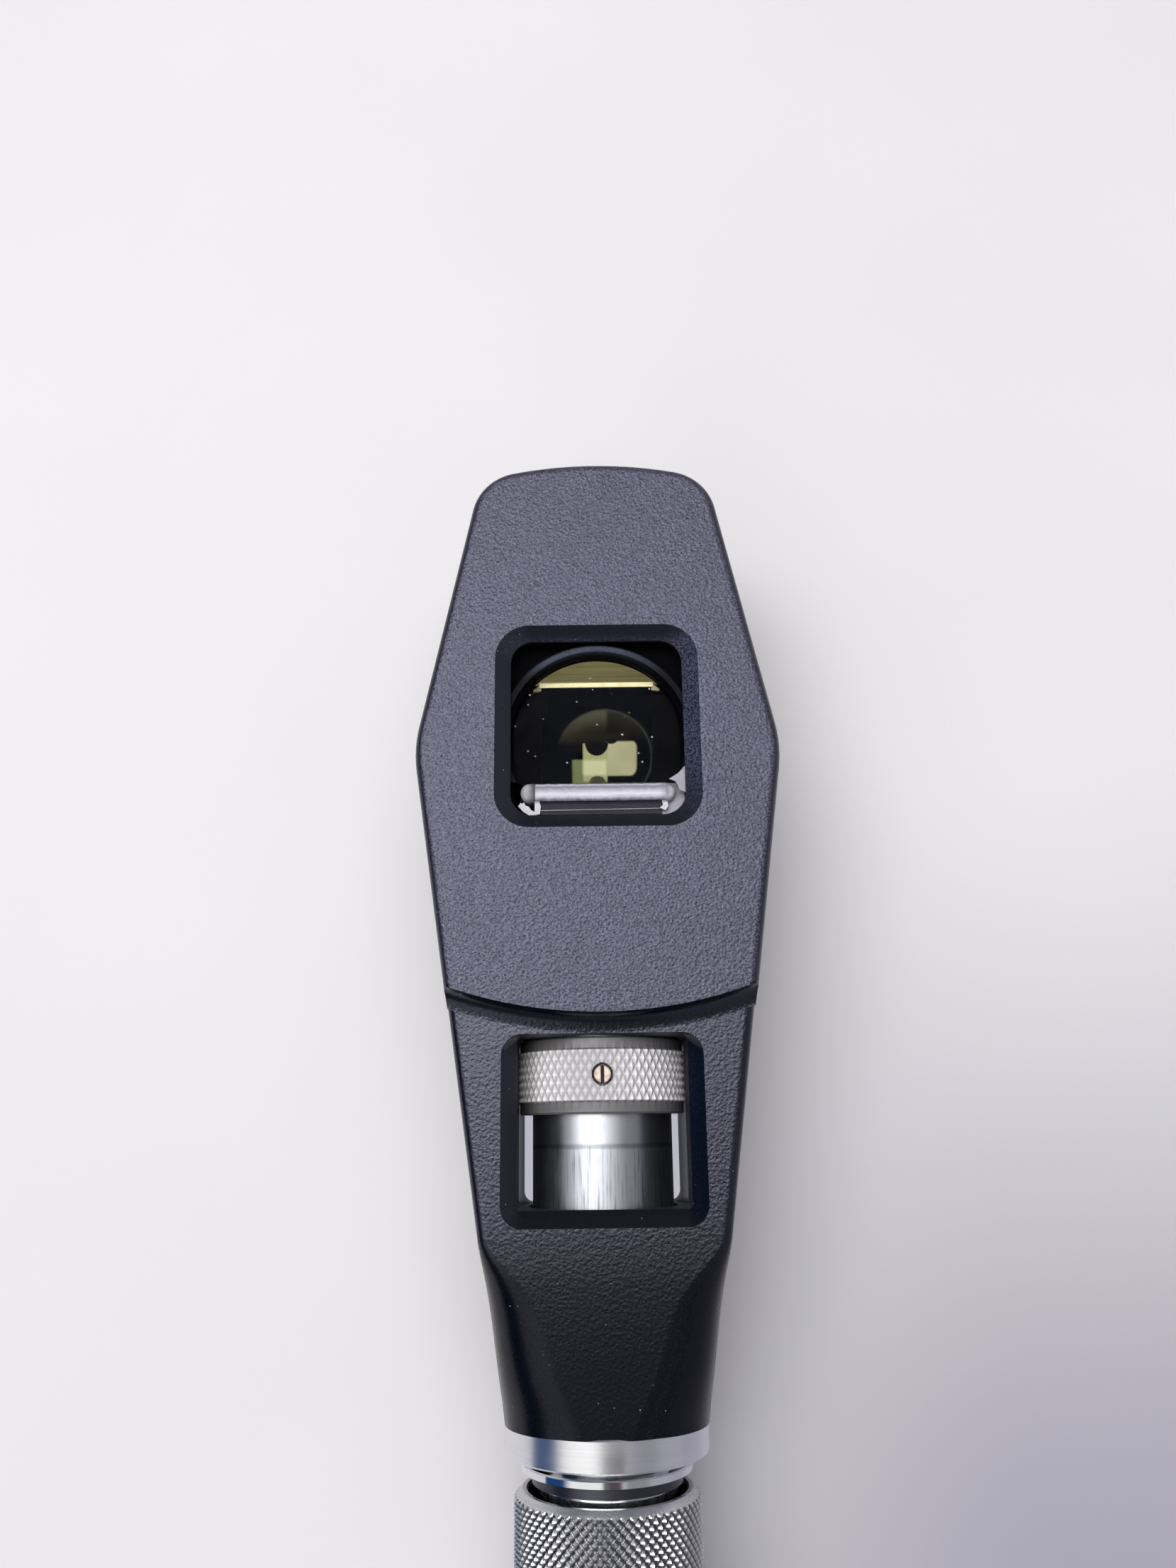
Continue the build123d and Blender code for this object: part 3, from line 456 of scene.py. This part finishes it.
def bezel_material():
    """Dead black plate with a satin lip whose top arc has a lighter colour, a painted highlight."""
    t = material_tree("bezel_black")
    grain = t.noise(2600.0, 3.0, 0.6)
    x, y = t.axis(0), t.math("SUBTRACT", t.axis(1), along(WINDOW_AT))
    radius = t.radius(x, y)
    # painted highlight: the lip's upper arc is lightened
    lit = t.remap(y, 7.2 * MM, 10.6 * MM, smooth=True)
    lit = t.times(lit, t.remap(x, 1.0 * MM, 9.0 * MM, 1.0, 0.3, smooth=True))
    soft = t.times(t.remap(radius, 10.9 * MM, 11.45 * MM), t.remap(radius, 12.25 * MM, 11.7 * MM))
    streak = t.times(t.times(lit, soft), t.remap(grain, 0.3, 0.7, 0.6, 1.0))
    colour = t.mix(streak, (0.003, 0.003, 0.0045), (0.070, 0.078, 0.115))
    rough = t.remap(grain, 0.3, 0.7, 0.42, 0.55)
    lip = t.principled(colour, rough, normal=t.bump(grain, 0.5, 0.00001), Specular_IOR_Level=0.06)
    black = t.mix(grain, (0.0015, 0.0015, 0.002), (0.004, 0.004, 0.005))
    plate = t.principled(black, 0.9, Specular_IOR_Level=0.02)
    return t.finish(t.layer(t.remap(t.axis(2), depth(9.22), depth(9.3)), plate, lip))


def milky_material():
    """Milky film in the front of the filter slab: its milky colour in bands up the film, with a painted
    highlight along the middle and a thin painted highlight at the top edge.
    """
    t = material_tree("milky_film")
    streak = t.noise(1.0, 3.0, 0.6, (160.0, 2400.0, 900.0))
    rough_edge = t.times(t.math("SUBTRACT", t.noise(1100.0, 3.0, 0.65), 0.5), 0.5 * MM)
    rise = t.remap(t.math("ADD", t.axis(1), rough_edge), along(71.85), along(73.95))
    # painted light: bands dark at the bottom, bright in the middle and with a bright line near the top paint
    # the film's highlights
    painted_light_bands = t.ramp(rise, [
        (0.0, (0.03, 0.03, 0.04)), (0.10, (0.22, 0.21, 0.24)), (0.22, (0.62, 0.60, 0.66)),
        (0.42, (0.96, 0.94, 0.98)), (0.62, (0.60, 0.58, 0.63)), (0.84, (0.24, 0.23, 0.27)),
        (0.95, (0.62, 0.61, 0.66)), (1.0, (0.20, 0.20, 0.23))])
    colour = t.mix(t.remap(streak, 0.35, 0.7, 0.0, 0.2), painted_light_bands, (0.34, 0.33, 0.37))
    rough = t.remap(streak, 0.3, 0.7, 0.3, 0.45)
    return t.finish(t.principled(colour, rough, Specular_IOR_Level=0.1))


def slab_material():
    """Clear moulded slab: see-through, with a milky grey on its edges where they are seen along them and
    towards its rounded ends, a painted reflection.
    """
    t = material_tree("slab_clear")
    cloud = t.remap(t.noise(700.0, 3.0), 0.3, 0.7)
    milk = t.mix(cloud, (0.20, 0.20, 0.24), (0.44, 0.44, 0.49))
    weight = t.add("ShaderNodeLayerWeight")
    weight.inputs["Blend"].default_value = 0.35
    marks = t.remap(t.cells(900.0), 0.02, 0.05, 0.6, 0.0)
    # painted reflection: milky grey at slanting edges and towards the ends
    ends = t.remap(t.math("ABSOLUTE", t.axis(0)), 7.3 * MM, 8.6 * MM, 0.0, 0.75)
    cover = t.math("MAXIMUM", t.remap(weight.outputs["Facing"], 0.2, 0.9, 0.03, 0.8), ends)
    return t.finish(t.layer(t.math("MAXIMUM", cover, marks),
                            t.plain("ShaderNodeBsdfTransparent", (0.90, 0.90, 0.93)),
                            t.principled(milk, 0.16, Specular_IOR_Level=0.35)))


# ------------------------------------------------------------------ mesh helpers
def mesh_object(name, vertices, faces, material, body):
    """Flat-shaded mesh piece that rides on a body."""
    mesh = bpy.data.meshes.new(name)
    mesh.from_pydata([tuple(v) for v in vertices], [], [tuple(f) for f in faces])
    mesh.validate()
    mesh.polygons.foreach_set("use_smooth", [False] * len(mesh.polygons))
    mesh.materials.append(material)
    mesh.update()
    item = bpy.data.objects.new(name, mesh)
    scene.collection.objects.link(item)
    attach(item, body)
    return item


def surface_of_turn(radii, heights, count):
    """Closed tube of turn: radii[row][column] at heights[row], the last row joined to the first."""
    rows = len(heights)
    angles = np.arange(count) * 2 * math.pi / count
    vertices = []
    for row in range(rows):
        r = np.asarray(radii[row]) * np.ones(count)
        x = r * np.sin(angles)
        z = AXIS_Z + r * np.cos(angles)
        y = np.full(count, along(heights[row]))
        vertices.append(np.stack([x, y, z], axis=1))
    faces = []
    for row in range(rows):
        following = (row + 1) % rows
        for column in range(count):
            right = (column + 1) % count
            faces.append((row * count + column, row * count + right,
                          following * count + right, following * count + column))
    return np.concatenate(vertices), faces


def knurl_rows(profile, bore, low, high, around, tall, depth_mm, steps, rise=None, wells=()):
    """Rows for a knurled ring: a profile of (height, radius), cut by crossing V grooves.

    around is the count of grooves each way, tall the height over which a groove passes one neighbour,
    steps the columns to a groove and rise the rows to that height. wells lists (angle, height, radius,
    floor radius) of round sinkings for screws."""
    count = around * steps
    heights = np.array([h for h, _ in profile])
    radii = np.array([r for _, r in profile])
    step = tall / (rise or steps)
    inner = np.arange(low, high + step / 2, step)
    levels = np.unique(np.round(np.concatenate([heights, inner]), 4))
    angle_phase = np.arange(count) / steps
    column_angles = np.arange(count) * 2 * math.pi / count
    rows = []
    for level in levels:
        base = np.interp(level, heights, radii)
        if low - 1e-6 <= level <= high + 1e-6:
            first = np.mod(angle_phase + level / tall, 1)
            second = np.mod(angle_phase - level / tall, 1)
            ridge = np.minimum(1 - np.abs(2 * first - 1), 1 - np.abs(2 * second - 1))
            knurl = radii.max() - depth_mm * (1 - ridge)
            row = np.minimum(base, knurl)
        else:
            row = np.full(count, base)
        for angle, height, radius, bottom in wells:
            turn = np.angle(np.exp(1j * (column_angles - angle)))
            away = np.hypot(turn * radii.max(), level - height)
            row = np.where(away < radius, np.minimum(row, bottom), row)
        rows.append(row)
    rows = [np.full(count, bore)] + rows + [np.full(count, bore)]
    levels = np.concatenate([[levels[0]], levels, [levels[-1]]])
    return [r * MM for r in rows], levels, count


def smooth_shade(item, angle):
    """Smooth shading that keeps edges sharper than an angle."""
    bpy.context.view_layer.objects.active = item
    for other in bpy.context.selected_objects:
        other.select_set(False)
    item.select_set(True)
    bpy.ops.object.shade_smooth_by_angle(angle=angle)
    item.select_set(False)


def knurled_ring(name, node, body, material, **shape):
    """Knurled piece that replaces a CAD node; shape is what knurl_rows takes."""
    rows, levels, count = knurl_rows(**shape)
    vertices, faces = surface_of_turn(rows, levels, count)
    item = mesh_object(name, vertices, faces, material, body)
    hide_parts(node)
    smooth_shade(item, math.radians(24))


def paint(material, *names):
    """Gives one material to CAD nodes."""
    for name in names:
        mesh = nodes[name].data
        mesh.materials.clear()
        mesh.materials.append(material)


# ------------------------------------------------------------------ materials on the CAD nodes
housing_paint = grained_paint("housing_grain", (0.004, 0.005, 0.008), (0.082, 0.075, 0.116),
                              pitch=0.00034, relief=0.00010, rough=0.32, ior=1.64,
                              fade=(-9.0, -8.0), window=WINDOW_AT)
casting_paint = grained_paint("casting_wrinkle", (0.0010, 0.0013, 0.0020), (0.0055, 0.006, 0.0085),
                              pitch=0.00035, relief=0.000055, rough=0.22, ior=1.60,
                              fade=(9.0, 30.0), calm=(1.34, 17.0, 26.0))
matte_black = plain_plastic("matte_black", (0.0022, 0.0025, 0.0040), 0.7, level=0.05)
rubber = plain_plastic("rubber", (0.018, 0.018, 0.02), 0.75, pitch=0.0006, relief=0.00003)
satin = turned_metal("satin_aluminium", (0.80, 0.81, 0.84), 0.24)
chrome = turned_metal("chrome", (0.82, 0.83, 0.86), 0.10, relief=0.000001, spread=0.03)
steel = turned_metal("polished_steel", (0.60, 0.61, 0.63), 0.22)
spring = turned_metal("spring_steel", (0.50, 0.50, 0.51), 0.30)
brass = turned_metal("brass", (0.78, 0.58, 0.26), 0.26)
copper = turned_metal("tinned_copper", (0.86, 0.66, 0.56), 0.25, line=4000.0)
screw_copper = slotted_material()
# the pit colours below are painted shade in the knurl valleys
sleeve_knurl = knurled_metal("sleeve_knurl", (0.86, 0.84, 0.86), pit=(0.40, 0.39, 0.40), band_tone=0.16,
                             rough=0.38, metallic=0.10, top=SLEEVE_RADIUS, depth_mm=SLEEVE_KNURL_DEPTH,
                             low=37.2, high=42.9)
collar_knurl = knurled_metal("collar_knurl", (0.68, 0.68, 0.70), pit=(0.07, 0.07, 0.085), band_tone=0.80,
                             rough=0.26, metallic=0.95, top=COLLAR_RADIUS, depth_mm=COLLAR_KNURL_DEPTH,
                             low=-11.6, high=-4.25)
washer_grey = turned_metal("washer_grey", (0.07, 0.072, 0.085), 0.35)
cream = plain_plastic("cream", (0.74, 0.70, 0.40), 0.45)
nylon = plain_plastic("white_nylon", (0.78, 0.78, 0.75), 0.5)
blue = plain_plastic("battery_blue", (0.05, 0.12, 0.32), 0.3)
clear = clear_material("clear_glass", (0.96, 0.97, 0.97))
window_clear = clear_material("window_clear", (0.93, 0.94, 0.95), gloss=0.0008, specks=0.9)

paint(housing_paint, "housing", "rear_cover")
paint(casting_paint, "yoke")
paint(bezel_material(), "window_bezel")
paint(matte_black, "mirror_clips", "mirror_frame", "light_baffle", "filter_shelf", "peephole_ring",
      "lens_retainers")
paint(rubber, "brow_rest", "drag_ring", "cap_seal")
paint(satin, "base_ring", "lamp_carrier", "tail_insert")
paint(washer_grey, "neck_washer")
paint(chrome, "handle_neck", "grip_shoulder", "tail_cap", "lamp_base")
paint(steel, "rear_cover_screws", "housing_screws", "bayonet_socket", "battery_terminal")
paint(spring, "filament_posts", "lamp_filament", "collar_clip", "plunger_spring", "button_spring",
      "battery_spring")
paint(brass, "bearing_bush", "lamp_retainer", "guide_key", "neck_terminal", "rheostat_track", "feed_rod",
      "contact_plunger", "cap_plate", "wiper")
paint(copper, "lamp_contact")
paint(screw_copper, "sleeve_screws")
paint(cream, "lamp_insulator", "lamp_block")
paint(nylon, "neck_insulator", "battery_liner", "battery_stop")
paint(blue, "battery_can")
paint(clear, "lamp_bulb", "condenser_lens", "peephole_glass")
paint(slab_material(), "filter_slab")
paint(window_clear, "window_glass")
paint(polished_tube_material(), "sleeve_tube")
paint(olive_material(), "top_baffle")
paint(mirror_reflection_painting(), "mirror_plate")
paint(plain_plastic("button_black", (0.02, 0.02, 0.022), 0.35), "lock_button")

# ------------------------------------------------------------------ knurled pieces
SLEEVE_PROFILE = [(35.8, 9.55), (36.0, 9.75), (37.05, 9.75), (37.15, SLEEVE_RADIUS),
                  (42.95, SLEEVE_RADIUS), (43.05, 9.75), (44.1, 9.75), (44.3, 9.55)]
COLLAR_PROFILE = [(-12.0, 9.5), (-11.6, 10.1), (-10.9, COLLAR_RADIUS), (-4.5, COLLAR_RADIUS), (-3.6, 9.4)]
GRIP_PROFILE = [(-138.0, 14.25), (-28.5, 14.25), (-28.0, 13.85)]
WELL_RADIUS, WELL_FLOOR = 1.2, 8.4

knurled_ring("knurled_sleeve", "sleeve_ring", "sleeve", sleeve_knurl,
             profile=SLEEVE_PROFILE, bore=8.27, low=37.15, high=42.95,
             around=63, tall=1.78, depth_mm=SLEEVE_KNURL_DEPTH, steps=8, rise=16,
             wells=[(angle, SCREW_AT, WELL_RADIUS, WELL_FLOOR) for angle in (0.0, math.pi)])
knurled_ring("knurled_collar", "rheostat_collar", "collar", collar_knurl,
             profile=COLLAR_PROFILE, bore=8.95, low=-11.6, high=-4.1,
             around=62, tall=1.1, depth_mm=COLLAR_KNURL_DEPTH, steps=8)
knurled_ring("knurled_grip", "grip_tube", "handle", plain_plastic("grip_black", (0.02, 0.02, 0.022), 0.35),
             profile=GRIP_PROFILE, bore=12.9, low=-136.0, high=-31.0,
             around=56, tall=2.4, depth_mm=0.4, steps=4)


# ------------------------------------------------------------------ details behind the window
def prism(name, outline, low, high, material, body):
    """Flat piece: an outline of (across, along) in millimetres between two depths."""
    count = len(outline)
    vertices = [(x * MM, along(y), depth(level)) for level in (low, high) for x, y in outline]
    faces = [tuple(reversed(range(count))), tuple(range(count, 2 * count))]
    faces += [(i, (i + 1) % count, count + (i + 1) % count, count + i) for i in range(count)]
    item = mesh_object(name, vertices, faces, material, body)
    return item


def rounded_box(half, low, high, corner, steps=6):
    """Outline of a rounded rectangle, half as wide to each side and from low to high."""
    points = []
    corners = ((half - corner, high - corner, 0), (corner - half, high - corner, 90),
               (corner - half, low + corner, 180), (half - corner, low + corner, 270))
    for cx, cy, start in corners:
        for i in range(steps + 1):
            angle = math.radians(start + 90 * i / steps)
            points.append((cx + corner * math.cos(angle), cy + corner * math.sin(angle)))
    return points


milky = milky_material()
pale = plain_plastic("pale_bond", (0.34, 0.33, 0.39), 0.4, pitch=0.0005, relief=0.00012, level=0.3)
white = plain_plastic("white_bond", (0.62, 0.60, 0.68), 0.4, pitch=0.0003, relief=0.00012, level=0.3)
shadow_film = plain_plastic("shadow_film", (0.034, 0.033, 0.044), 0.35, pitch=0.0006, relief=0.00006,
                            level=0.05)
tab_cream = plain_plastic("tab_cream", (0.72, 0.62, 0.34), 0.5, level=0.2)

# Outlines (across, along) in millimetres: the slab's film, the bonding round its ends, its folds, and a dark
# sheet of painted shade below the film
FILM = [(x + 0.30, y) for x, y in rounded_box(7.85, 71.85, 73.95, 0.15)]
FILLET = [(10.4, 71.9), (10.42, 74.1), (7.4, 74.1), (7.4, 70.2), (9.2, 70.3), (10.0, 71.0)]
CRESCENT = [(10.42, 72.6), (10.42, 75.9), (10.05, 75.45), (9.63, 75.0), (9.1, 74.65), (8.49, 74.28),
            (9.2, 74.0), (9.5, 73.55), (9.7, 72.9)]
BLOB = [(-9.6, 71.35), (-9.42, 71.5), (-9.3, 71.75), (-9.1, 71.62), (-8.9, 71.8), (-8.7, 71.4),
        (-8.3, 71.25), (-8.0, 70.8), (-7.4, 70.5), (-7.3, 70.2), (-8.3, 70.2), (-9.0, 70.65)]
LEFT_FOLD = [(-7.6, 70.3), (-7.0, 70.25), (-6.85, 71.2), (-7.05, 71.9), (-7.6, 71.85)]
RIGHT_FOLD = [(7.35, 70.9), (8.0, 70.6), (8.35, 71.1), (8.3, 71.8), (7.6, 71.85), (7.75, 71.3)]
# painted shade: a dark sheet standing for the dark seen through the clear slab below the film
SHADE_SHEET = [(-7.2, 70.25), (7.6, 70.25), (7.6, 71.78), (-7.2, 71.78)]
LOWER_LINE = [(-6.9, 70.72), (7.4, 70.85), (7.4, 70.93), (-6.9, 70.80)]
TAB = [(6.9, 87.5), (7.25, 87.5), (7.9, 86.95), (7.85, 86.75), (6.9, 86.85)]

for name, outline, low, high, material in (
        ("slab_film", FILM, 10.0, 10.25, milky),
        ("slab_bond_right", FILLET, 9.25, 9.6, pale),
        ("slab_bond_tail", CRESCENT, 10.75, 10.95, pale),
        ("slab_bond_left", BLOB, 9.4, 10.1, white),
        ("film_fold_left", LEFT_FOLD, 9.95, 10.2, white),
        ("film_fold_right", RIGHT_FOLD, 9.95, 10.2, white),
        ("film_lower_edge", LOWER_LINE, 9.95, 10.05, pale),
        ("shade_sheet_lower_band", SHADE_SHEET, 9.75, 9.9, shadow_film),
        ("mirror_tab_left", [(-x, y) for x, y in TAB], 7.3, 7.6, tab_cream),
        ("mirror_tab_right", TAB, 7.3, 7.6, tab_cream)):
    prism(name, outline, low, high, material, "head")


# ------------------------------------------------------------------ floor, light and camera
TABLE_HALF = 3.0                        # metres
PAINTED_LIGHT_PATCH = (-11 * MM, 11 * MM, along(23), along(47))   # glowing patch of painted light on the table, seen through the lower window
LENS, SENSOR_WIDTH = 27.67, 36.0        # millimetres
CAMERA_TILT, CAMERA_ROLL = 16.0, 0.728  # degrees
CAMERA_AT = (-1.701 * MM, along(34.1), depth(149.2))


def floor():
    """Pale table with painted shadow that makes it dimmer and bluer towards the lower right, and a glowing
    patch of painted light under the open frame.
    """
    size = TABLE_HALF
    corners = [(-size, -size, 0), (size, -size, 0), (size, size, 0), (-size, size, 0)]
    mesh = bpy.data.meshes.new("floor")
    mesh.from_pydata(corners, [], [(0, 1, 2, 3)])
    item = bpy.data.objects.new("floor", mesh)
    scene.collection.objects.link(item)
    t = material_tree("pale_table")
    tone = t.noise(9.0, 3.0, 0.55)
    pale_table = t.mix(t.remap(tone, 0.3, 0.7), (0.77, 0.76, 0.765), (0.73, 0.72, 0.73))
    # painted shadow: darker and bluer towards the lower right
    down = t.remap(t.axis(1), along(90.0), along(-25.0), smooth=True)
    right = t.remap(t.axis(0), -0.035, 0.055, smooth=True)
    shade = t.times(down, t.remap(right, 0, 1, 0.08, 1.0))
    shade = t.math("ADD", t.times(shade, 0.80), t.times(right, 0.08))
    colour = t.mix(shade, pale_table, (0.28, 0.27, 0.34))
    # painted light: the table under the lower window glows
    under = box_mask(t, t.axis(0), t.axis(1), *PAINTED_LIGHT_PATCH, MM)
    mesh.materials.append(t.finish(t.layer(t.times(under, 0.85),
                                           t.principled(colour, 0.5, Specular_IOR_Level=0.2),
                                           t.plain("ShaderNodeEmission", (0.56, 0.55, 0.64)))))


def world():
    """Soft room: a broad bright panel overhead, a pale left, a dim right, a blue wall and dark bodies.

    across and ahead are the slopes of a direction from straight up, to the right and to the head's top."""
    sky = bpy.data.worlds.new("studio")
    scene.world = sky
    t = Tree(sky, "ShaderNodeOutputWorld")
    x, y, z = (t.axis(i, "Generated") for i in range(3))
    height = t.math("MAXIMUM", z, 0.03)
    across = t.math("DIVIDE", x, height)
    ahead = t.math("DIVIDE", y, height)
    wall = t.mix(t.remap(x, -0.5, 0.6, smooth=True), (0.10, 0.11, 0.15), (0.42, 0.41, 0.46))
    blue_side = t.times(t.remap(x, -0.70, -0.80, smooth=True), t.remap(z, 0.64, 0.50, smooth=True))
    wall = t.mix(blue_side, wall, (0.012, 0.06, 0.18))
    room = t.mix(t.remap(across, 0.15, 0.55, smooth=True), (1.05, 1.03, 1.0), (0.30, 0.30, 0.34))
    room = t.mix(t.remap(ahead, 0.6, 1.6, smooth=True), room, (0.8, 0.8, 0.84))
    colour = t.mix(t.remap(z, 0.44, 0.66, smooth=True), wall, room)
    panel = box_mask(t, across, ahead, -0.85, 0.42, 0.0, 0.58, 0.16, smooth=True)
    dimmer = t.times(t.remap(across, -0.05, 0.20, smooth=True),
                     t.remap(ahead, 0.35, 0.05, 0.35, 0.85, smooth=True))
    lamp = t.mix(dimmer, (5.9, 5.85, 5.85), (0.8, 0.78, 0.85))
    colour = t.mix(panel, colour, lamp)
    for limits, soft, share, shade in (
            ((0.02, 0.36, -2.0, -0.16), 0.06, 0.8, (0.30, 0.17, 0.18)),      # a hand
            ((-0.12, 0.30, -3.0, -0.07), 0.05, 0.9, (0.05, 0.05, 0.06)),     # the camera
            ((-0.20, 0.42, -0.20, -0.07), 0.03, 0.95, (0.04, 0.04, 0.05))):  # a sleeve
        body = box_mask(t, across, ahead, *limits, soft, smooth=True)
        colour = t.mix(t.times(body, share), colour, shade)
    t.finish(t.plain("ShaderNodeBackground", colour, Strength=1.0))


def camera():
    """Camera above the neck, tilted towards the head's top."""
    data = bpy.data.cameras.new("camera")
    data.sensor_fit = "AUTO"
    data.sensor_width = SENSOR_WIDTH
    data.lens = LENS
    data.clip_start = 0.005
    item = bpy.data.objects.new("camera", data)
    scene.collection.objects.link(item)
    item.location = CAMERA_AT
    item.rotation_mode = "XYZ"
    item.rotation_euler = (math.radians(CAMERA_TILT), 0.0, -math.radians(CAMERA_ROLL))
    scene.camera = item


floor()
world()
camera()
scene.view_settings.view_transform = "Standard"
